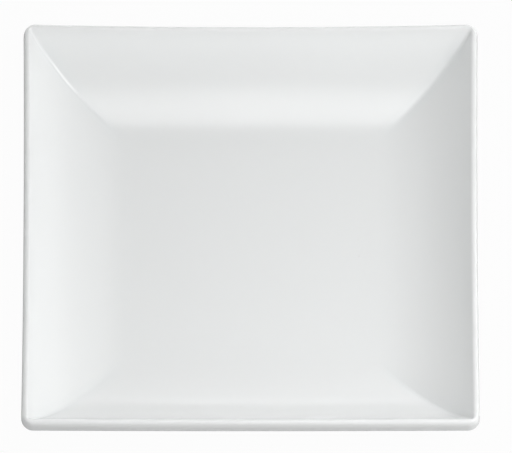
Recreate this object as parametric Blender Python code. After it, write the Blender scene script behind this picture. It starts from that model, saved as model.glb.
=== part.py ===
"""Square bread plate: a pressed porcelain body, a coat of glaze over it and a second one under it.

The foot ring stands on the XY plane, the middle of the plate is over the origin and +Z is up.
Each surface is a stack of rounded squares, every one bridged to the next.  A station of such
a stack is (half width, height, corner radius), and a section is the list of stations met on
the way from the middle of the well out over the lip and back under the plate.
"""

from math import asin, cos, pi, radians, sin

import bmesh
import bpy
from mathutils import Vector

# Whole plate, in metres
SIDE = 0.1520            # width from corner to corner along one side, over the glaze
SIDE_BOW = 0.0004        # how far the middle of a side stands in behind its corners
LIP_SAG = 0.0012         # how far the middle of a side hangs below the raised corners
FLAT_FROM = 0.0500       # half width inside which bow and sag have died out

# Coats of glaze
GLAZE = 0.0003           # thickness of a coat
SEAM = 0.0002            # clearance between a coat and the clay
GLAZE_LINE = 0.0012      # height above the table where the coats stop and the foot stays bare

# Clay body
HALF = SIDE / 2 - GLAZE - SEAM
WELL_HALF = 0.0420       # half width of the flat floor of the well
COVE = 0.0355            # radius of the hollow curve from the floor up to the lip
WALL = 0.0028            # thickness of the wall
BASE = 0.0040            # thickness of the floor
LIP_TOP = 0.0005         # rounding along the crest of the lip
LIP_FACE = 0.0045        # rounding of the outer face under the crest
LIP_UNDER = 0.0015       # rounding along the lower edge of the lip
LIP_SHOULDER = 68        # degrees from straight up where the crest runs over into the face
LIP_CORNER = 0.0035      # outer corner radius of the lip
LIP_FLARE = 1.5          # growth of that radius for each step outwards over the lip
WELL_CORNER = 0.0012     # corner radius of the floor of the well

# Foot ring
FOOT_HALF = 0.0450       # half width over the outside of the ring
FOOT_WIDTH = 0.0032
FOOT_HEIGHT = 0.0028
FOOT_CORNER = 0.0080
FOOT_EDGE = 0.0008       # rounding of the edges that stand on the table
FOOT_ROOT = 0.0015       # fillet between the wall and the outside of the ring
RECESS_ROOT = 0.0012     # fillet between the inside of the ring and the floor

# Divisions
CORNER_STEPS = 4
SIDE_STEPS = 8

# Angles are measured from straight down, turning outwards
DOWN = 0.0
OUTWARD = pi / 2
UP = pi
INWARD = 3 * pi / 2

# Positions that follow from the sizes above
FLOOR_TOP = FOOT_HEIGHT + BASE
COVE_CENTRE = (WELL_HALF, FLOOR_TOP + COVE)
SHOULDER = UP - radians(LIP_SHOULDER)
CREST_HALF = HALF - LIP_FACE + (LIP_FACE - LIP_TOP) * sin(SHOULDER)
FOOT_CENTRE = FOOT_HALF - FOOT_CORNER
FOOT_INSIDE = FOOT_HALF - FOOT_WIDTH


def clear_scene():
    """Empty the file."""
    for thing in list(bpy.data.objects):
        bpy.data.objects.remove(thing, do_unlink=True)


def arc(centre, radius, start, end, steps):
    """Points along an arc, given as (half width, height)."""
    turns = [start + (end - start) * step / steps for step in range(steps + 1)]
    return [(centre[0] + radius * sin(turn), centre[1] - radius * cos(turn)) for turn in turns]


def on_cove_ray(distance, half_width):
    """Angle and point at a given distance from the centre of the cove and a given half width."""
    turn = asin((half_width - WELL_HALF) / distance)
    return turn, (half_width, COVE_CENTRE[1] - distance * cos(turn))


def with_corner(points, corner_at):
    """Stations made of section points and the corner radius that belongs to each half width."""
    return [(half, height, corner_at(half)) for half, height in points]


def blend(first, last):
    """Straight change of corner radius between two (half width, radius) pairs."""
    slope = (last[1] - first[1]) / (last[0] - first[0])
    return lambda half: first[1] + slope * (half - first[0])


def lip_corner(half):
    """Corner radius on the lip, wider on the face than on the crest."""
    return LIP_CORNER - LIP_FLARE * (HALF - half)


def foot_corner(half):
    """Corner radius on the foot ring, where all the squares share their corner centres."""
    return half - FOOT_CENTRE


def cove_stations(out):
    """Floor of the well and hollow wall, at a distance outside the clay."""
    turn, _ = on_cove_ray(COVE + LIP_TOP, CREST_HALF)
    points = arc(COVE_CENTRE, COVE - out, DOWN, turn, 10)
    top = points[-1][0]
    return with_corner(points, blend((WELL_HALF, WELL_CORNER), (top, lip_corner(top))))


def lip_stations(out):
    """Thin rounded crest, full outer face and rounded lower edge of the lip."""
    crest, crest_centre = on_cove_ray(COVE + LIP_TOP, CREST_HALF)
    face_centre = (HALF - LIP_FACE, crest_centre[1] + (LIP_FACE - LIP_TOP) * cos(SHOULDER))
    under, under_centre = on_cove_ray(COVE + WALL - LIP_UNDER, HALF - LIP_UNDER)
    points = arc(crest_centre, LIP_TOP + out, UP + crest, SHOULDER, 4)[1:]
    points += arc(face_centre, LIP_FACE + out, SHOULDER, OUTWARD, 3)[1:]
    points += arc(under_centre, LIP_UNDER + out, OUTWARD, under, 3)
    return with_corner(points, lip_corner)


def wall_stations(out):
    """Outside of the wall, from under the lip down to the side of the foot ring."""
    start, _ = on_cove_ray(COVE + WALL - LIP_UNDER, HALF - LIP_UNDER)
    root, root_centre = on_cove_ray(COVE + WALL + FOOT_ROOT, FOOT_HALF + FOOT_ROOT)
    points = arc(COVE_CENTRE, COVE + WALL + out, start, root, 8)
    top, foot = points[0][0], points[-1][0]
    wall = with_corner(points, blend((top, lip_corner(top)), (foot, foot_corner(foot))))
    fillet = arc(root_centre, FOOT_ROOT - out, UP + root, INWARD, 3)
    return wall[1:] + with_corner(fillet[1:], foot_corner)


def foot_stations():
    """Bare standing face of the foot ring with its two rounded edges."""
    outer = arc((FOOT_HALF - FOOT_EDGE, FOOT_EDGE), FOOT_EDGE, OUTWARD, DOWN, 3)
    inner = arc((FOOT_INSIDE + FOOT_EDGE, FOOT_EDGE), FOOT_EDGE, DOWN, -OUTWARD, 3)
    return with_corner(outer + inner, foot_corner)


def recess_stations(out):
    """Recess inside the foot ring, from the side of the ring in to the underside of the floor."""
    centre = (FOOT_INSIDE - RECESS_ROOT, FOOT_HEIGHT - RECESS_ROOT)
    return with_corner(arc(centre, RECESS_ROOT - out, OUTWARD, UP, 3), foot_corner)


def foot_edge_station(half, out):
    """End of a coat of glaze on one side of the foot ring, thinning out to an edge."""
    return half, GLAZE_LINE + out, foot_corner(half)


def upper_surface(out):
    """Upper coat's path: well, lip, outside of the wall and side of the foot ring."""
    path = cove_stations(out) + lip_stations(out) + wall_stations(out)
    return path + [foot_edge_station(FOOT_HALF + out, out)]


def lower_surface(out):
    """Lower coat's path: side of the foot ring, then the recess."""
    return [foot_edge_station(FOOT_INSIDE - out, out)] + recess_stations(out)


def ring(half, height, corner):
    """Points of one rounded square, anticlockwise from the end of its +X side."""
    centre = half - corner
    turns = [step * pi / 2 / CORNER_STEPS for step in range(CORNER_STEPS + 1)]
    quarter = [(centre + corner * cos(turn), centre + corner * sin(turn)) for turn in turns]
    shares = [1 - 2 * step / SIDE_STEPS for step in range(1, SIDE_STEPS)]
    quarter += [(centre * share, half) for share in shares]
    points = []
    for _ in range(4):
        points += [Vector((x, y, height)) for x, y in quarter]
        quarter = [(-y, x) for x, y in quarter]
    return points


def warp(point):
    """Draw the sides in and let them hang between the raised corners."""
    axis = 0 if abs(point.x) >= abs(point.y) else 1
    reach = abs(point[axis])
    along = abs(point[1 - axis]) / reach
    grow = min(max((reach - FLAT_FROM) / (SIDE / 2 - FLAT_FROM), 0.0), 1.0)
    share = grow * grow * (3 - 2 * grow) * (1 - along * along)
    point[axis] *= 1 - SIDE_BOW * share / reach
    point.z -= LIP_SAG * share
    return point


def bridge(bm, row, following):
    """Band of faces between two rounded squares."""
    for spot in range(len(row)):
        bm.faces.new((row[spot], row[spot - 1], following[spot - 1], following[spot]))


def loft(name, stations, material):
    """Closed body through a stack of rounded squares, capped at both ends."""
    bm = bmesh.new()
    rows = [[bm.verts.new(warp(point)) for point in ring(*station)] for station in stations]
    for row, following in zip(rows, rows[1:]):
        bridge(bm, row, following)
    bm.faces.new(rows[0])
    bm.faces.new(rows[-1][::-1])
    bmesh.ops.recalc_face_normals(bm, faces=bm.faces)
    mesh = bpy.data.meshes.new(name)
    bm.to_mesh(mesh)
    bm.free()
    mesh.materials.append(material)
    body = bpy.data.objects.new(name, mesh)
    bpy.context.scene.collection.objects.link(body)
    return body


def make_material(name, colour, roughness):
    """Plain non-metal surface."""
    material = bpy.data.materials.new(name)
    material.use_nodes = True
    shader = material.node_tree.nodes["Principled BSDF"]
    shader.inputs["Base Color"].default_value = (*colour, 1.0)
    shader.inputs["Roughness"].default_value = roughness
    shader.inputs["Metallic"].default_value = 0.0
    return material


def build_body():
    """Fired clay: well, walls, lip and foot ring in one piece."""
    clay = make_material("porcelain_clay", (0.83, 0.82, 0.79), 0.65)
    walls = cove_stations(0.0) + lip_stations(0.0) + wall_stations(0.0)
    return loft("porcelain_body", walls + foot_stations() + recess_stations(0.0), clay)


def build_coat(name, surface, material):
    """Skin of glaze that follows one surface of the clay."""
    outside = surface(SEAM + GLAZE)
    inside = surface(SEAM)
    return loft(name, outside + inside[::-1], material)


def build_base_coat(name, material):
    """Skin of glaze in the recess, from the middle out to its edge and back."""
    outside = lower_surface(SEAM + GLAZE)[::-1]
    inside = lower_surface(SEAM)
    return loft(name, outside + inside, material)


def build():
    """The whole plate."""
    clear_scene()
    build_body()
    build_coat("glaze_coat", upper_surface, make_material("white_glaze", (0.84, 0.85, 0.86), 0.12))
    build_base_coat("base_glaze", make_material("white_base_glaze", (0.82, 0.83, 0.83), 0.16))


build()
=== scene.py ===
# %% [markdown]
# A square bread plate in white porcelain
#
# The plate is one pressed piece of porcelain under a skin of glossy white glaze. Only the ring
# that it stands on is bare, because glaze there would melt onto the kiln shelf. The imported model
# has three solids for this: the clay, the glaze over the top and sides, and the glaze in the
# recess underneath. We load it as a fixed frame.

from math import asin, cos, degrees, pi, radians, sin, sqrt

import bmesh
import bpy
from mathutils import Matrix, Vector, noise


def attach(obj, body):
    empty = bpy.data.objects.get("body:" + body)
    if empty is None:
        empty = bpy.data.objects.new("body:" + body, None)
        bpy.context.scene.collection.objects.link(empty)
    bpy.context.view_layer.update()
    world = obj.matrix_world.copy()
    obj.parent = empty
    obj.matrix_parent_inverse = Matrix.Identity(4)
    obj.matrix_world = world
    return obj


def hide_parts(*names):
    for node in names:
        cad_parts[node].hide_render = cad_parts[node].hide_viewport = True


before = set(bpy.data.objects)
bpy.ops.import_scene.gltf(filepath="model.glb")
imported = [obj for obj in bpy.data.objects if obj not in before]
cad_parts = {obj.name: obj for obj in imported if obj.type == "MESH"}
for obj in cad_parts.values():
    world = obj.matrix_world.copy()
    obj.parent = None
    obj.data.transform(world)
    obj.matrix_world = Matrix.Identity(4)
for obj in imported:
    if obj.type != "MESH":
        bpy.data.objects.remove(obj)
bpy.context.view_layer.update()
print("solids in the frame:", sorted(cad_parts))

# %% [markdown]
# The section
#
# Cut the plate in half and the cut shows a row of arcs: a flat floor, one long hollow curve up to
# the lip (the cove), a small round crest, a fuller outer face, a round lower edge, the outside of
# the wall on the same centre as the cove, and the foot ring. The real mould has the same arcs, so
# we keep their sizes by name instead of pushing vertices about by eye. All lengths are in metres.

# %% Sizes of the clay and of the glaze
SIDE = 0.1520            # over the glaze, at the corners
GLAZE = 0.0003           # thickness of a coat
SEAM = 0.0002            # hair of room between coat and clay
FACE = SEAM + GLAZE      # from the clay out to the face of a coat
GLAZE_LINE = 0.0012      # height where the coats stop on the foot ring
HALF = SIDE / 2 - GLAZE - SEAM
WELL_HALF = 0.0420       # flat floor of the well
WELL_CORNER = 0.0012
COVE = 0.0355            # radius of the hollow curve
WALL = 0.0028            # clay in the wall
BASE = 0.0040            # clay under the well
print("clay", round(2000 * HALF, 1), "mm wide, floor of the well", round(2000 * WELL_HALF, 1))

# %% Sizes of the lip
LIP_TOP = 0.0005         # radius of the crest
LIP_FACE = 0.0045        # radius of the outer face, from the shoulder down
LIP_SHOULDER = 68        # degrees from straight up where crest and face meet
LIP_UNDER = 0.0015       # radius of the lower edge
LIP_CORNER = 0.0035      # corners seen from above, at the outside of the clay
LIP_FLARE = 1.5          # how fast these corners tighten towards the inside
print("crest of the glaze", round(1000 * (LIP_TOP + FACE), 2), "mm round")

# %% Sizes of the foot ring
FOOT_HALF = 0.0450       # over the outside of the ring
FOOT_WIDTH = 0.0032
FOOT_HEIGHT = 0.0028
FOOT_CORNER = 0.0080
FOOT_EDGE = 0.0008       # rounding of the edges on the table
FOOT_ROOT = 0.0015       # fillet between wall and ring
RECESS_ROOT = 0.0012     # fillet between ring and floor
FOOT_INSIDE = FOOT_HALF - FOOT_WIDTH
FLOOR_TOP = FOOT_HEIGHT + BASE
COVE_CENTRE = (WELL_HALF, FLOOR_TOP + COVE)
print("floor of the clay at", round(1000 * FLOOR_TOP, 2), "mm over the table")

# %% [markdown]
# Stations
#
# Seen from above, every height of the plate is a square with rounded corners. One such square is
# called a station here: half its width, its height, and the radius of its corners. An arc of the
# section becomes a row of stations. Angles are measured from straight down and turn outwards, so
# half a turn is straight up.

# %% Arcs
DOWN, OUTWARD, UP, INWARD = 0.0, pi / 2, pi, 3 * pi / 2


def arc(centre, radius, start, end, steps):
    """Points (half width, height) along an arc."""
    turns = [start + (end - start) * step / steps for step in range(steps + 1)]
    return [(centre[0] + radius * sin(turn), centre[1] - radius * cos(turn)) for turn in turns]


def on_cove_ray(distance, half):
    """Angle and point at a distance from the centre of the cove and a given half width."""
    turn = asin((half - WELL_HALF) / distance)
    return turn, (half, COVE_CENTRE[1] - distance * cos(turn))


shoulder = UP - radians(LIP_SHOULDER)
crest_half = HALF - LIP_FACE + (LIP_FACE - LIP_TOP) * sin(shoulder)
crest_turn, crest_centre = on_cove_ray(COVE + LIP_TOP, crest_half)
face_centre = (HALF - LIP_FACE, crest_centre[1] + (LIP_FACE - LIP_TOP) * cos(shoulder))
under_turn, under_centre = on_cove_ray(COVE + WALL - LIP_UNDER, HALF - LIP_UNDER)
root_turn, root_centre = on_cove_ray(COVE + WALL + FOOT_ROOT, FOOT_HALF + FOOT_ROOT)
print("the cove rises to", round(degrees(crest_turn), 1), "degrees")

# %% Corner radii


def with_corners(points, corner_at):
    """Stations: section points with the corner radius that belongs to each."""
    return [(half, height, corner_at(half)) for half, height in points]


def between(first, last):
    """Corner radius that changes evenly from one (half width, radius) pair to another."""
    slope = (last[1] - first[1]) / (last[0] - first[0])
    return lambda half: first[1] + slope * (half - first[0])


def lip_corner(half):
    """The corners of the lip tighten from its outside to its inside."""
    return LIP_CORNER - LIP_FLARE * (HALF - half)


def foot_corner(half):
    """All squares of the foot ring turn about the same four corner centres."""
    return half - (FOOT_HALF - FOOT_CORNER)


print("corners of the crest:", round(1000 * lip_corner(crest_half), 2), "mm")

# %% [markdown]
# From the middle of the well to the foot
#
# Now the arcs in the order in which a finger would meet them. The same lines serve for the clay,
# the underside of a coat and its face: only the distance out from the clay changes, because
# arcs at an even distance share their centres. A fine count gives smooth reflections on the
# face, and hidden surfaces get by with a coarser one.

# %% Well and cove
FINE, MIDDLE, COARSE = 4, 2, 1
WELL_RINGS = (0.004, 0.010, 0.018, 0.026, 0.034)
COVE_STEPS = 12


def well_stations(out):
    """Level floor of the well, ring by ring from the middle."""
    height = FLOOR_TOP + out
    return [(half, height, WELL_CORNER * half / WELL_HALF) for half in WELL_RINGS]


def cove_stations(out, fineness):
    """Hollow wall, from the edge of the floor to the lip."""
    points = arc(COVE_CENTRE, COVE - out, DOWN, crest_turn, COVE_STEPS * fineness)
    top = points[-1][0]
    return with_corners(points, between((WELL_HALF, WELL_CORNER), (top, lip_corner(top))))


print("stations from the middle to the lip:", len(well_stations(FACE) + cove_stations(FACE, FINE)))

# %% Lip and outside of the wall
LIP_STEPS = 3
WALL_STEPS = 6
FILLET_STEPS = 2


def lip_stations(out, fineness):
    """Round crest, outer face and round lower edge of the lip."""
    steps = LIP_STEPS * fineness
    points = arc(crest_centre, LIP_TOP + out, UP + crest_turn, shoulder, steps)[1:]
    points += arc(face_centre, LIP_FACE + out, shoulder, OUTWARD, steps)[1:]
    points += arc(under_centre, LIP_UNDER + out, OUTWARD, under_turn, steps)
    return with_corners(points, lip_corner)


def wall_stations(out, fineness):
    """Outside of the wall and the fillet that leads it into the foot ring."""
    points = arc(COVE_CENTRE, COVE + WALL + out, under_turn, root_turn, WALL_STEPS * fineness)
    top, foot = points[0][0], points[-1][0]
    wall = with_corners(points, between((top, lip_corner(top)), (foot, foot_corner(foot))))
    fillet = arc(root_centre, FOOT_ROOT - out, UP + root_turn, INWARD, FILLET_STEPS * fineness)
    return wall[1:] + with_corners(fillet[1:], foot_corner)


def upper_stations(out, fineness):
    """Well, cove, lip and outside of the wall."""
    path = well_stations(out) + cove_stations(out, fineness)
    return path + lip_stations(out, fineness) + wall_stations(out, fineness)


print("stations on the face of the glaze:", len(upper_stations(FACE, FINE)))

# %% Foot and recess
FOOT_STEPS = 6
RECESS_STEPS = 2
RECESS_CORNER = 0.2      # corners of the rings in the recess, as a share of their half width
BEAD_STEPS = 5


def foot_stations():
    """Bare standing face of the foot ring, with its two rounded edges."""
    outer = arc((FOOT_HALF - FOOT_EDGE, FOOT_EDGE), FOOT_EDGE, OUTWARD, DOWN, FOOT_STEPS)
    inner = arc((FOOT_INSIDE + FOOT_EDGE, FOOT_EDGE), FOOT_EDGE, DOWN, -OUTWARD, FOOT_STEPS)
    return with_corners(outer + inner, foot_corner)


def recess_stations(out, fineness):
    """Underside of the floor, from the inner side of the foot ring to the middle."""
    centre = (FOOT_INSIDE - RECESS_ROOT, FOOT_HEIGHT - RECESS_ROOT)
    fillet = arc(centre, RECESS_ROOT - out, OUTWARD, UP, RECESS_STEPS * fineness)
    level = [(half, FOOT_HEIGHT - out, half * RECESS_CORNER) for half in WELL_RINGS[::-1]]
    return with_corners(fillet, foot_corner) + level


def glaze_bead(side, sign):
    """Rounded end of a coat on the foot ring: from its face in to the clay."""
    turns = [pi / 2 * step / BEAD_STEPS for step in range(1, BEAD_STEPS + 1)]
    rise = GLAZE_LINE + SEAM + GLAZE
    points = [(side + sign * (SEAM + GLAZE * cos(turn)), rise - GLAZE * sin(turn))
              for turn in turns]
    return with_corners(points, foot_corner)


print("stations under the foot:", len(foot_stations()))

# %% [markdown]
# A skin from rings
#
# A loft can be had in several ways. Bridging loose loops is quick, but loops that lie in one plane
# confuse it, and a screw or spin can't make a square. So we grow the skin: a four-sided circle,
# its corners rounded with a vertex bevel, is the first ring. Each next ring is extruded from the
# last one, and its four corners are scaled about their own centres and carried to their place.
# The long sides are cut up at the end, all at once, so that they can bend later.

# %% First ring
CORNER_STEPS = 12
SIDE_CUTS = 27


def first_ring(bm, half, height, corner):
    """Rounded square of edges."""
    bmesh.ops.create_circle(bm, segments=4, radius=half * sqrt(2))
    bmesh.ops.rotate(bm, cent=(0, 0, 0), matrix=Matrix.Rotation(pi / 4, 3, "Z"), verts=bm.verts)
    bmesh.ops.translate(bm, vec=(0, 0, height), verts=bm.verts)
    bmesh.ops.bevel(bm, geom=bm.verts[:], affect="VERTICES", offset=corner, offset_type="OFFSET",
                    segments=CORNER_STEPS, profile=0.5, material=-1)
    return bm.edges[:]


print("points in a ring:", 4 * (CORNER_STEPS + 1 + SIDE_CUTS))

# %% Next ring


def next_ring(bm, edges, now, then):
    """Extrude a ring and carry its corners from one station to the next."""
    grown = bmesh.ops.extrude_edge_only(bm, edges=edges)["geom"]
    verts = [item for item in grown if isinstance(item, bmesh.types.BMVert)]
    reach, new_reach = now[0] - now[2], then[0] - then[2]
    swell = then[2] / now[2]
    for x_side, y_side in ((1, 1), (-1, 1), (-1, -1), (1, -1)):
        corner = [v for v in verts if v.co.x * x_side > 0 and v.co.y * y_side > 0]
        centre = Vector((x_side * reach, y_side * reach, now[1]))
        target = Vector((x_side * new_reach, y_side * new_reach, then[1]))
        bmesh.ops.scale(bm, vec=(swell, swell, 1), space=Matrix.Translation(-centre), verts=corner)
        bmesh.ops.translate(bm, vec=target - centre, verts=corner)
    return [item for item in grown if isinstance(item, bmesh.types.BMEdge) and item.is_boundary]


# %% Whole skin


def crosses_a_side(edge):
    """True for the long straight edges that join one corner to the next."""
    one, other = (v.co for v in edge.verts)
    return one.x * other.x < 0 or one.y * other.y < 0


def grow_skin(stations):
    """Closed skin through a row of stations."""
    bm = bmesh.new()
    edges = first_ring(bm, *stations[0])
    for now, then in zip(stations, stations[1:]):
        edges = next_ring(bm, edges, now, then)
    long_edges = [edge for edge in bm.edges if crosses_a_side(edge)]
    bmesh.ops.subdivide_edges(bm, edges=long_edges, cuts=SIDE_CUTS)
    bmesh.ops.holes_fill(bm, edges=[edge for edge in bm.edges if edge.is_boundary])
    bmesh.ops.recalc_face_normals(bm, faces=bm.faces)
    return bm


# %% [markdown]
# Fired, not machined
#
# Clay shrinks and softens in the kiln. The long sides of this plate have drawn in a little and
# hang between the raised corners, so its outline is never quite straight. A proportional edit
# would do that by hand. Here one rule does it for every piece, so that coat and clay keep together.

# %% Bow and sag of the sides
SIDE_BOW = 0.0004
LIP_SAG = 0.0012
FLAT_FROM = 0.0500       # half width inside which the plate stays true


def ease(value):
    """Smooth step from 0 to 1."""
    value = min(max(value, 0.0), 1.0)
    return value * value * (3 - 2 * value)


def fire(bm):
    """Draw the sides in and let them hang between the corners."""
    for vert in bm.verts:
        axis = 0 if abs(vert.co.x) >= abs(vert.co.y) else 1
        reach = abs(vert.co[axis])
        along = abs(vert.co[1 - axis]) / reach
        share = ease((reach - FLAT_FROM) / (SIDE / 2 - FLAT_FROM)) * (1 - along * along)
        vert.co[axis] *= 1 - SIDE_BOW * share / reach
        vert.co.z -= LIP_SAG * share


print("sides drawn in and hanging by, in mm:", round(1000 * SIDE_BOW, 2), round(1000 * LIP_SAG, 2))

# %% Waver of the glaze line
WAVER_HEIGHT = 0.00022
WAVER_REACH = 0.0005     # height over the bead in which the waver dies out
WAVES_PER_METRE = 140


def waver_glaze_line(bm):
    """Let the edge of a coat on the foot ring rise and fall a little, as brushed glaze does."""
    for vert in bm.verts:
        near_line = 1 - ease((vert.co.z - GLAZE_LINE - GLAZE - SEAM) / WAVER_REACH)
        if near_line > 0:
            wave = noise.noise(Vector((vert.co.x, vert.co.y, 0)) * WAVES_PER_METRE)
            vert.co.z += WAVER_HEIGHT * wave * near_line


print("the glaze line wavers by", round(1000 * WAVER_HEIGHT, 2), "mm at most")

# %% [markdown]
# How thick the glaze lies
#
# Molten glaze creeps off sharp edges and gathers in hollows. That shows as a slightly different
# white along the crest of the lip and in the mitred corners. A painted map could hold this, but
# the shape already knows it: we write it on the vertices as an attribute called glaze_depth, from
# 0 on the crest over 0.5 on the plain coat to 1 in a hollow, and the material reads it.

# %% Depth of the glaze
CREST = crest_centre[1] + LIP_TOP
GATHER = 0.005           # reach of the gathered glaze to both sides of a mitred corner
COVE_FADE = 0.006        # length outside the floor of the well over which it begins
LIP_CLEAR = 0.006        # where it starts to fade out, measured in from the edge of the clay
THIN_BAND = 0.0035       # where thin glaze begins, measured in from the edge of the clay
LIP_FADE = 0.003         # length of both of these changes
THIN_DROP = 0.0065       # how far thin glaze reaches down from the crest
THIN_FADE = 0.004        # length over which it thickens there
LINE_ROLL = 0.0016       # height of the thick roll over the glaze line
PLAIN = 0.5              # depth of a plain coat


def glaze_depth(place):
    """0 where the glaze has run thin, 1 where it has gathered."""
    near, far = sorted((abs(place.x), abs(place.y)))
    edge = far - HALF
    mitre = 1 - ease((far - near) / GATHER)
    in_cove = ease((far - WELL_HALF) / COVE_FADE) * (1 - ease((edge + LIP_CLEAR) / LIP_FADE))
    high = ease((place.z - CREST + THIN_DROP) / THIN_FADE)
    thin = ease((edge + THIN_BAND) / LIP_FADE) * high
    at_line = 1 - ease((place.z - GLAZE_LINE) / LINE_ROLL)
    return PLAIN + PLAIN * max(mitre * in_cove, at_line) - PLAIN * thin


def mark_depth(bm):
    """Store the depth of the glaze on every vertex."""
    layer = bm.verts.layers.float.new("glaze_depth")
    for vert in bm.verts:
        vert[layer] = glaze_depth(vert.co)


print("depth in the middle of the lip:", round(glaze_depth(Vector((HALF, 0, CREST))), 2))

# %% [markdown]
# From a skin to a piece
#
# Each skin becomes one smooth object that stands for a solid of the frame, which is then hidden.
# An object could be moved to its place, but here its place is in its mesh and it stays at the
# origin, so that patterns on Object coordinates can't slide. Both coats are made in the same way.

# %% Make an object of a skin


def make_piece(name, bm, node):
    """Smooth object at the origin that stands for a solid of the frame."""
    for face in bm.faces:
        face.smooth = True
    volume = 1e6 * bm.calc_volume(signed=True)
    mesh = bpy.data.meshes.new(name)
    bm.to_mesh(mesh)
    bm.free()
    piece = bpy.data.objects.new(name, mesh)
    bpy.context.scene.collection.objects.link(piece)
    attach(piece, "root")
    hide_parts(node)
    print(name, len(mesh.polygons), "faces,", round(volume, 2), "cubic cm")
    return piece


def make_coat(name, stations, node):
    """Coat of glaze: fired with the clay, uneven along its edge, its depth on the vertices."""
    skin = grow_skin(stations)
    fire(skin)
    waver_glaze_line(skin)
    mark_depth(skin)
    return make_piece(name, skin, node)


# %% [markdown]
# The upper coat
#
# This coat is nearly all that one sees of the plate. Solidify over an open surface could make it,
# but would leave a square end at the foot. We follow its face from the middle of the well over the
# lip and down to the foot, round off the end in a bead as melted glaze does, and come back along
# the clay.

# %% Upper glaze
coat = upper_stations(FACE, FINE) + glaze_bead(FOOT_HALF, 1)
coat += upper_stations(SEAM, MIDDLE)[::-1]
upper_glaze = make_coat("upper_glaze", coat, "glaze_coat")

# %% [markdown]
# The coat in the recess
#
# The wiped foot ring parts this coat from the upper one, so it is a piece of its own. It goes the
# other way round: out along the clay, round the bead, and back along its face, which looks down.

# %% Glaze in the recess
coat = recess_stations(SEAM, COARSE)[::-1]
coat += glaze_bead(FOOT_INSIDE, -1)[::-1]
coat += recess_stations(FACE, FINE)
recess_glaze = make_coat("recess_glaze", coat, "base_glaze")

# %% [markdown]
# The clay
#
# The clay fills the room between the coats and shows only as the ring that the plate stands on. It
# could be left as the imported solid, but the ring is seen when the plate is turned over, so it gets
# rounder edges and finer corners. It is fired by the same rule as the coats.

# %% Clay body
skin = grow_skin(upper_stations(0.0, MIDDLE) + foot_stations() + recess_stations(0.0, MIDDLE))
fire(skin)
clay_body = make_piece("clay_body", skin, "porcelain_body")

# %% [markdown]
# Finishes
#
# White porcelain is never one flat white. The kiln leaves soft patches of tone, the glaze is a
# little cooler where it lies thick and lets the clay show where it lies thin, its face has a faint
# orange-peel ripple, and here and there a speck of iron has burnt through. All three finishes
# share these effects, so each effect is a node group with its own sockets, built once.

# %% Helpers for values


def plug(tree, socket, value):
    """Give a socket a plain value, or a link if the value is another socket."""
    if isinstance(value, bpy.types.NodeSocket):
        tree.links.new(value, socket)
    else:
        socket.default_value = value


def maths(tree, operation, first, second=0.0):
    """Math node on two values."""
    node = tree.nodes.new("ShaderNodeMath")
    node.operation = operation
    plug(tree, node.inputs[0], first)
    plug(tree, node.inputs[1], second)
    return node.outputs[0]


def ramp(tree, value, start, end, low=0.0, high=1.0, smooth=False):
    """Map Range node: start gives low, end gives high, and nothing goes past them."""
    node = tree.nodes.new("ShaderNodeMapRange")
    node.interpolation_type = "SMOOTHSTEP" if smooth else "LINEAR"
    for socket, given in zip(node.inputs, (value, start, end, low, high)):
        plug(tree, socket, given)
    return node.outputs[0]


# %% Helpers for colour and noise
COLOUR_A, COLOUR_B, COLOUR_OUT = 6, 7, 2     # where a Mix node keeps its colour sockets
NOISE_LOW, NOISE_MIDDLE, NOISE_HIGH = 0.3, 0.5, 0.7     # range that a noise texture mostly keeps


def mix_colour(tree, share, first, second):
    """Mix of two colours by a share from 0 to 1."""
    node = tree.nodes.new("ShaderNodeMix")
    node.data_type = "RGBA"
    plug(tree, node.inputs[0], share)
    plug(tree, node.inputs[COLOUR_A], first)
    plug(tree, node.inputs[COLOUR_B], second)
    return node.outputs[COLOUR_OUT]


def cloud(tree, size, detail):
    """Noise from 0 to 1 on Object coordinates, with features of a size in metres."""
    place = tree.nodes.new("ShaderNodeTexCoord")
    node = tree.nodes.new("ShaderNodeTexNoise")
    tree.links.new(place.outputs["Object"], node.inputs["Vector"])
    plug(tree, node.inputs["Scale"], maths(tree, "DIVIDE", 1.0, size))
    plug(tree, node.inputs["Detail"], detail)
    return node.outputs[0]


# %% Helper for groups


def new_group(name, inputs, output, kind):
    """Shader node group with named inputs and one named output."""
    group = bpy.data.node_groups.new(name, "ShaderNodeTree")
    for label, value in inputs.items():
        colour = isinstance(value, tuple)
        socket_type = "NodeSocketColor" if colour else "NodeSocketFloat"
        socket = group.interface.new_socket(label, in_out="INPUT", socket_type=socket_type)
        socket.default_value = value
    group.interface.new_socket(output, in_out="OUTPUT", socket_type=kind)
    given = group.nodes.new("NodeGroupInput").outputs
    made = group.nodes.new("NodeGroupOutput").inputs
    return group, given, made


# %% [markdown]
# Tone of the kiln
#
# Three whites make the colour: the clay that shows where the glaze is thin, the plain coat, and
# the cooler white of a thick coat. A cloud of noise pushes the depth up and down a little, so the
# change from one to the next is never an even band.

# %% Group: kiln tone
WHITE = (0.8, 0.8, 0.8, 1.0)
kiln_tone, given, made = new_group(
    "kiln_tone",
    {"Thin": WHITE, "Plain": WHITE, "Thick": WHITE, "Depth": PLAIN, "Patch": 0.03, "Drift": 0.1},
    "Colour", "NodeSocketColor")
patches = cloud(kiln_tone, given["Patch"], detail=3.0)
patches = maths(kiln_tone, "SUBTRACT", patches, NOISE_MIDDLE)
drift = maths(kiln_tone, "MULTIPLY", patches, given["Drift"])
depth = maths(kiln_tone, "ADD", given["Depth"], drift)
lower = mix_colour(kiln_tone, ramp(kiln_tone, depth, 0.0, PLAIN), given["Thin"], given["Plain"])
upper = mix_colour(kiln_tone, ramp(kiln_tone, depth, PLAIN, 1.0), lower, given["Thick"])
kiln_tone.links.new(upper, made["Colour"])
print("group", kiln_tone.name, "with", len(kiln_tone.nodes), "nodes")

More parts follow.
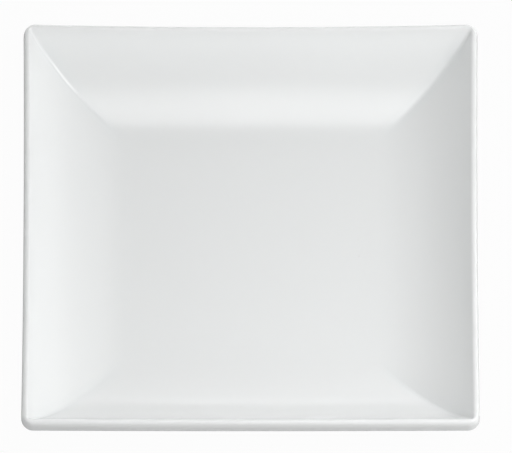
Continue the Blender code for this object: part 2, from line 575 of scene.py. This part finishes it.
# %% [markdown]
# Ripple, gloss and specks
#
# The ripple is a height in metres for a Bump node: a fine one like the skin of an orange, and a
# slow one from the pressing. The gloss drifts a little from place to place. A speck sits in a few
# of the cells of a Voronoi texture, and the share of cells that get one is an input.

# %% Group: ripple
ripple, given, made = new_group(
    "ripple", {"Fine Size": 0.0012, "Fine Depth": 1e-6, "Slow Size": 0.012, "Slow Depth": 6e-6},
    "Height", "NodeSocketFloat")
fine = cloud(ripple, given["Fine Size"], detail=2.0)
fine = maths(ripple, "MULTIPLY", fine, given["Fine Depth"])
slow = cloud(ripple, given["Slow Size"], detail=1.0)
slow = maths(ripple, "MULTIPLY", slow, given["Slow Depth"])
ripple.links.new(maths(ripple, "ADD", fine, slow), made["Height"])
print("group", ripple.name, "with", len(ripple.nodes), "nodes")

# %% Group: gloss
gloss, given, made = new_group(
    "gloss", {"Low": 0.1, "High": 0.15, "Patch": 0.02}, "Roughness", "NodeSocketFloat")
spread = cloud(gloss, given["Patch"], detail=3.0)
roughness = ramp(gloss, spread, NOISE_LOW, NOISE_HIGH, given["Low"], given["High"])
gloss.links.new(roughness, made["Roughness"])
print("group", gloss.name, "with", len(gloss.nodes), "nodes")

# %% Group: specks
SPECK_CORE = 0.5         # share of a speck's radius that is fully dark
specks, given, made = new_group(
    "specks", {"Spacing": 0.005, "Radius": 0.00015, "Share": 0.05}, "Mask", "NodeSocketFloat")
place = specks.nodes.new("ShaderNodeTexCoord")
cells = specks.nodes.new("ShaderNodeTexVoronoi")
specks.links.new(place.outputs["Object"], cells.inputs["Vector"])
plug(specks, cells.inputs["Scale"], maths(specks, "DIVIDE", 1.0, given["Spacing"]))
rim = maths(specks, "DIVIDE", given["Radius"], given["Spacing"])
core = maths(specks, "MULTIPLY", rim, SPECK_CORE)
dot = ramp(specks, cells.outputs["Distance"], rim, core)
chance = specks.nodes.new("ShaderNodeSeparateColor")
specks.links.new(cells.outputs["Color"], chance.inputs[0])
picked = maths(specks, "LESS_THAN", chance.outputs[0], given["Share"])
specks.links.new(maths(specks, "MULTIPLY", dot, picked), made["Mask"])
print("group", specks.name, "with", len(specks.nodes), "nodes")

# %% [markdown]
# One recipe for three finishes
#
# Every finish has the same layers, in the order of the real one: tone, specks over it, gloss and
# ripple. The recipe places the groups in a material with values of its own, and the Principled
# shader stays in the material. The depth of the glaze comes from the attribute on the vertices.

# %% Recipe


def place_group(tree, group, **values):
    """Node group in a material, with its values; an underscore stands for a space."""
    node = tree.nodes.new("ShaderNodeGroup")
    node.node_tree = group
    node.label = group.name
    for label, value in values.items():
        plug(tree, node.inputs[label.replace("_", " ")], value)
    return node.outputs[0]


def make_finish(name, ior, tone, speck_colour, speck, shine, surface):
    """Fired finish: tone, specks, gloss and ripple on one Principled shader."""
    material = bpy.data.materials.new(name)
    material.use_nodes = True
    tree = material.node_tree
    shader = tree.nodes["Principled BSDF"]
    depth = tree.nodes.new("ShaderNodeAttribute")
    depth.attribute_name = "glaze_depth"
    colour = place_group(tree, kiln_tone, Depth=depth.outputs["Fac"], **tone)
    mask = place_group(tree, specks, **speck)
    plug(tree, shader.inputs["Base Color"], mix_colour(tree, mask, colour, speck_colour))
    plug(tree, shader.inputs["Roughness"], place_group(tree, gloss, **shine))
    bump = tree.nodes.new("ShaderNodeBump")
    bump.inputs["Distance"].default_value = 1.0     # the heights are in metres already
    plug(tree, bump.inputs["Height"], place_group(tree, ripple, **surface))
    plug(tree, shader.inputs["Normal"], bump.outputs[0])
    shader.inputs["IOR"].default_value = ior
    print("finish", material.name, "with", len(tree.nodes), "nodes")
    return material


# %% [markdown]
# White glaze
#
# A glass with a white pigment in it, so it bends light as glass does. In the photograph its white
# is neutral with a trace of green and blue, and its reflections have soft edges, which a roughness
# of about a fifth gives.

# %% Finish of the upper coat
white_glaze = make_finish(
    "white_glaze", ior=1.5,
    tone={"Thin": (0.768, 0.777, 0.775, 1), "Plain": (0.790, 0.802, 0.8015, 1),
          "Thick": (0.779, 0.796, 0.797, 1), "Patch": 0.03, "Drift": 0.12},
    speck_colour=(0.42, 0.38, 0.33, 1),
    speck={"Spacing": 0.009, "Radius": 0.00016, "Share": 0.25},
    shine={"Low": 0.19, "High": 0.23, "Patch": 0.02},
    surface={"Fine_Size": 0.0013, "Fine_Depth": 1.2e-6, "Slow_Size": 0.014, "Slow_Depth": 8e-6})
upper_glaze.data.materials.append(white_glaze)

# %% [markdown]
# Glaze under the plate
#
# The same glaze, but it pools in the recess while a dipped plate dries face down. So here it lies
# thicker, drifts more in tone, and its face is less even. It could share the finish of the upper
# coat, but then the underside would look as smooth as the well, which it seldom is.

# %% Finish of the coat in the recess
thick_glaze = make_finish(
    "thick_glaze", ior=1.5,
    tone={"Thin": (0.77, 0.765, 0.745, 1), "Plain": (0.785, 0.797, 0.793, 1),
          "Thick": (0.76, 0.787, 0.787, 1), "Patch": 0.018, "Drift": 0.5},
    speck_colour=(0.40, 0.36, 0.31, 1),
    speck={"Spacing": 0.007, "Radius": 0.00018, "Share": 0.35},
    shine={"Low": 0.12, "High": 0.2, "Patch": 0.015},
    surface={"Fine_Size": 0.0015, "Fine_Depth": 2e-6, "Slow_Size": 0.011, "Slow_Depth": 1.4e-5})
recess_glaze.data.materials.append(thick_glaze)

# %% [markdown]
# Bare clay
#
# The wiped ring is warmer in tone, matt and grainy. No glaze lies on it, so its depth reads 0, and
# the strong drift alone moves it between the first two tones.

# %% Finish of the foot ring
bare_clay = make_finish(
    "bare_clay", ior=1.45,
    tone={"Thin": (0.70, 0.67, 0.62, 1), "Plain": (0.76, 0.74, 0.70, 1),
          "Thick": (0.72, 0.70, 0.66, 1), "Patch": 0.006, "Drift": 0.9},
    speck_colour=(0.38, 0.33, 0.27, 1),
    speck={"Spacing": 0.003, "Radius": 0.00014, "Share": 0.3},
    shine={"Low": 0.62, "High": 0.82, "Patch": 0.004},
    surface={"Fine_Size": 0.00018, "Fine_Depth": 8e-6, "Slow_Size": 0.003, "Slow_Depth": 2e-5})
clay_body.data.materials.append(bare_clay)

# %% [markdown]
# The studio floor
#
# The plate stands on white paper that runs out of the picture on all sides. The camera sees it as
# plain white. For the plate it is a dimmer sheet that glows a little, so that the underside isn't
# black. Seen from below, the paper is clear, so that the foot can be looked at.

# %% Floor
FLOOR_SIZE = 14.0
bm = bmesh.new()
bmesh.ops.create_grid(bm, x_segments=1, y_segments=1, size=FLOOR_SIZE / 2)
mesh = bpy.data.meshes.new("studio_floor")
bm.to_mesh(mesh)
bm.free()
studio_floor = bpy.data.objects.new("studio_floor", mesh)
bpy.context.scene.collection.objects.link(studio_floor)
print("floor", FLOOR_SIZE, "m wide")

# %% White paper
PAPER = 0.30             # how much of the light from above the paper sends back
PAPER_ROUGHNESS = 0.9
UNDERGLOW = 0.18         # light of its own that the paper sends up to the plate
GLOW = 0.96              # share of the paper that the camera sees as plain white


def mix_shaders(tree, share, first, second):
    """Mix of two shaders by a share from 0 to 1."""
    node = tree.nodes.new("ShaderNodeMixShader")
    for socket, value in zip(node.inputs, (share, first, second)):
        plug(tree, socket, value)
    return node.outputs[0]


paper = bpy.data.materials.new("white_paper")
paper.use_nodes = True
tree = paper.node_tree
sheet = tree.nodes["Principled BSDF"]
sheet.inputs["Base Color"].default_value = (PAPER, PAPER, PAPER, 1)
sheet.inputs["Roughness"].default_value = PAPER_ROUGHNESS
sheet.inputs["Emission Color"].default_value = (1, 1, 1, 1)
sheet.inputs["Emission Strength"].default_value = UNDERGLOW
lit = tree.nodes.new("ShaderNodeEmission")
clear = tree.nodes.new("ShaderNodeBsdfTransparent")
rays = tree.nodes.new("ShaderNodeLightPath")
side = tree.nodes.new("ShaderNodeNewGeometry")
seen = maths(tree, "MULTIPLY", rays.outputs["Is Camera Ray"], GLOW)
from_above = mix_shaders(tree, seen, sheet.outputs[0], lit.outputs[0])
either = mix_shaders(tree, side.outputs["Backfacing"], from_above, clear.outputs[0])
plug(tree, tree.nodes["Material Output"].inputs["Surface"], either)
studio_floor.data.materials.append(paper)
print("paper with", len(tree.nodes), "nodes")

# %% [markdown]
# The camera
#
# The photograph looks at the plate from the front, from about 62 degrees above the table, and its
# left and right edges hardly converge. An orthographic camera would give such straight sides, but
# a photograph is taken through a lens, so we use a very long one from far away.

# %% Camera
ELEVATION = radians(61.5)
LENS = 1400.0
SENSOR = 36.0
FAR_CLIP = 100.0
FRAME_WIDTH = 0.17045    # metres across the frame at the plate
ASIDE = 0.00181          # how far the middle of the frame lies right of the plate's middle
AIM_HEIGHT = 0.02530     # height over the table of the point in the middle of the frame
towards = Vector((0, -cos(ELEVATION), sin(ELEVATION)))
aim = Vector((ASIDE, 0, AIM_HEIGHT))
camera = bpy.data.objects.new("camera", bpy.data.cameras.new("camera"))
camera.data.lens = LENS
camera.data.sensor_width = SENSOR
camera.data.clip_end = FAR_CLIP
camera.location = aim + towards * FRAME_WIDTH * LENS / SENSOR
camera.rotation_euler = towards.to_track_quat("Z", "Y").to_euler()
bpy.context.scene.collection.objects.link(camera)
bpy.context.scene.camera = camera
print("camera", round((camera.location - aim).length, 2), "m away")

# %% [markdown]
# Light
#
# Glossy white on white lives from what it mirrors. A panel overhead draws the bright band along
# the hollow of the far wall, and the lights on the right make the left wall light and the right
# wall dark. White walls behind and at the left keep the outside from going black, and a low strip
# at the back draws the bright line along the near lip. A hard-edged panel would show its outline
# in the glaze, so the light of each panel fades towards its edges.

# %% Light panels
SOFT_EDGE = 0.5          # share of a panel over which its light fades to the edge
BOTH_EDGES = 0.5         # fold in the middle of a panel: both edges fade
FIRST_EDGE = 1.0         # no fold: only the first edge fades


def light_panel(name, centre, turn, size, radiance, fades, folds):
    """Area light that fades towards its edges, with a share and a fold for each of its axes."""
    light = bpy.data.lights.new(name, "AREA")
    light.shape = "RECTANGLE"
    light.size, light.size_y = size
    light.energy = pi * size[0] * size[1] * radiance
    light.use_nodes = True
    tree = light.node_tree
    place = tree.nodes.new("ShaderNodeTexCoord")
    axes = tree.nodes.new("ShaderNodeSeparateXYZ")
    tree.links.new(place.outputs["UV"], axes.inputs[0])
    glow = 1.0
    for axis, fade, fold in zip(axes.outputs, fades, folds):
        inward = maths(tree, "PINGPONG", axis, fold)
        glow = maths(tree, "MULTIPLY", glow, ramp(tree, inward, 0.0, fade, smooth=True))
    plug(tree, tree.nodes["Emission"].inputs["Strength"], glow)
    lamp = bpy.data.objects.new(name, light)
    lamp.location = centre
    lamp.rotation_euler = turn
    lamp.visible_camera = False
    bpy.context.scene.collection.objects.link(lamp)
    print("light", name, round(light.energy, 1), "W")


# %% Panels that hang over the plate


def hanging(name, centre, size, radiance, front_fade):
    """Level panel that fades to its sides and to the front, but not to the back."""
    level = (0, 0, 0)
    fades, folds = (SOFT_EDGE, front_fade), (BOTH_EDGES, FIRST_EDGE)
    light_panel(name, centre, level, size, radiance, fades, folds)


hanging("overhead", (0.0, -0.305, 1.2), size=(1.0, 1.09), radiance=3.02, front_fade=0.6)
hanging("overhead_right", (0.5, -0.24, 0.7), size=(0.8, 0.72), radiance=6.40, front_fade=0.45)

# %% Panels that stand round the plate


def standing(name, azimuth, elevation, distance, size, radiance):
    """Panel turned to the plate. Azimuth 0 is to the right and 270 is the camera's side."""
    around, rise = radians(azimuth), radians(elevation)
    direction = Vector((cos(rise) * cos(around), cos(rise) * sin(around), sin(rise)))
    turn = direction.to_track_quat("Z", "Y").to_euler()
    fades, folds = (SOFT_EDGE, SOFT_EDGE), (BOTH_EDGES, BOTH_EDGES)
    light_panel(name, direction * distance, turn, size, radiance, fades, folds)


standing("key", 320, 35, distance=0.6, size=(0.72, 0.56), radiance=2.47)
standing("front_left", 240, 30, distance=0.8, size=(0.8, 0.62), radiance=2.49)
standing("front_low", 270, 5, distance=1.3, size=(2.2, 0.9), radiance=1.32)
standing("right_low", 355, 10, distance=1.0, size=(2.4, 1.0), radiance=2.05)
standing("left_low", 180, 10, distance=1.3, size=(2.2, 1.4), radiance=2.28)
standing("back", 90, 15, distance=1.6, size=(5.0, 3.6), radiance=1.40)
standing("back_low", 90, 5, distance=1.2, size=(3.0, 0.6), radiance=2.2)

# %% [markdown]
# White all round
#
# Past the edge of the paper the camera sees a white studio. That white gives no light, so the
# panels alone shape the plate.

# %% White studio
studio = bpy.data.worlds.new("studio")
studio.use_nodes = True
tree = studio.node_tree
rays = tree.nodes.new("ShaderNodeLightPath")
backdrop = tree.nodes["Background"]
plug(tree, backdrop.inputs["Color"], (1, 1, 1, 1))
plug(tree, backdrop.inputs["Strength"], rays.outputs["Is Camera Ray"])
bpy.context.scene.world = studio
bpy.context.scene.view_settings.view_transform = "Standard"
print("world", studio.name, "with", len(tree.nodes), "nodes")
